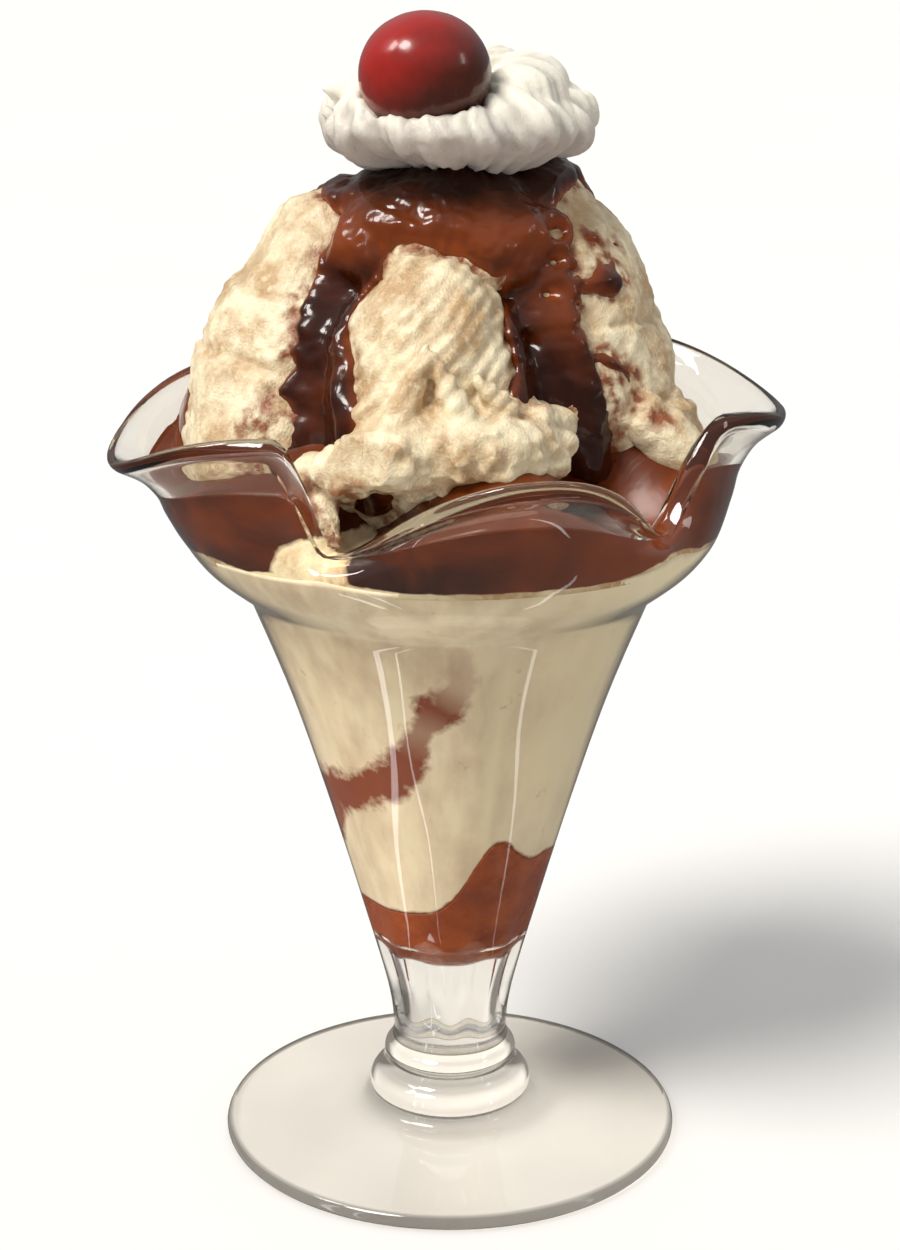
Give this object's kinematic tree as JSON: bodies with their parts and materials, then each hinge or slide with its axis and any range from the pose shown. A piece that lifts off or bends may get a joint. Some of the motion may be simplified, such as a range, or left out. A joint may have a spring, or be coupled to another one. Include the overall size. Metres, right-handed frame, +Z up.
{
  "type": "ice cream sundae",
  "caption": "Ice cream sundae in a footed tulip glass with a ruffled rim, with chocolate sauce, whipped cream and a cherry on top.",
  "frame": {"origin": "centre of the foot's flat underside", "axes": "+Z up; -Y towards the front, where the scoop with the torn skirt shows; +X to the right seen from the front"},
  "size_m": [0.1165, 0.1156, 0.2029],
  "materials": {
    "glass": "clear, gloss",
    "ice_cream": "satin",
    "sauce": "gloss",
    "cream": "satin",
    "cherry": "gloss"
  },
  "bodies": {
    "root": {"glass": "glass", "syrup_base": "sauce", "cone_ice_cream": "ice_cream", "scoop_front": "ice_cream", "scoop_left": "ice_cream", "scoop_right": "ice_cream", "scoop_top": "ice_cream", "sauce_pool": "sauce", "sauce_cap": "sauce", "cherry": "cherry", "whipped_cream": "cream"}
  },
  "joints": []
}
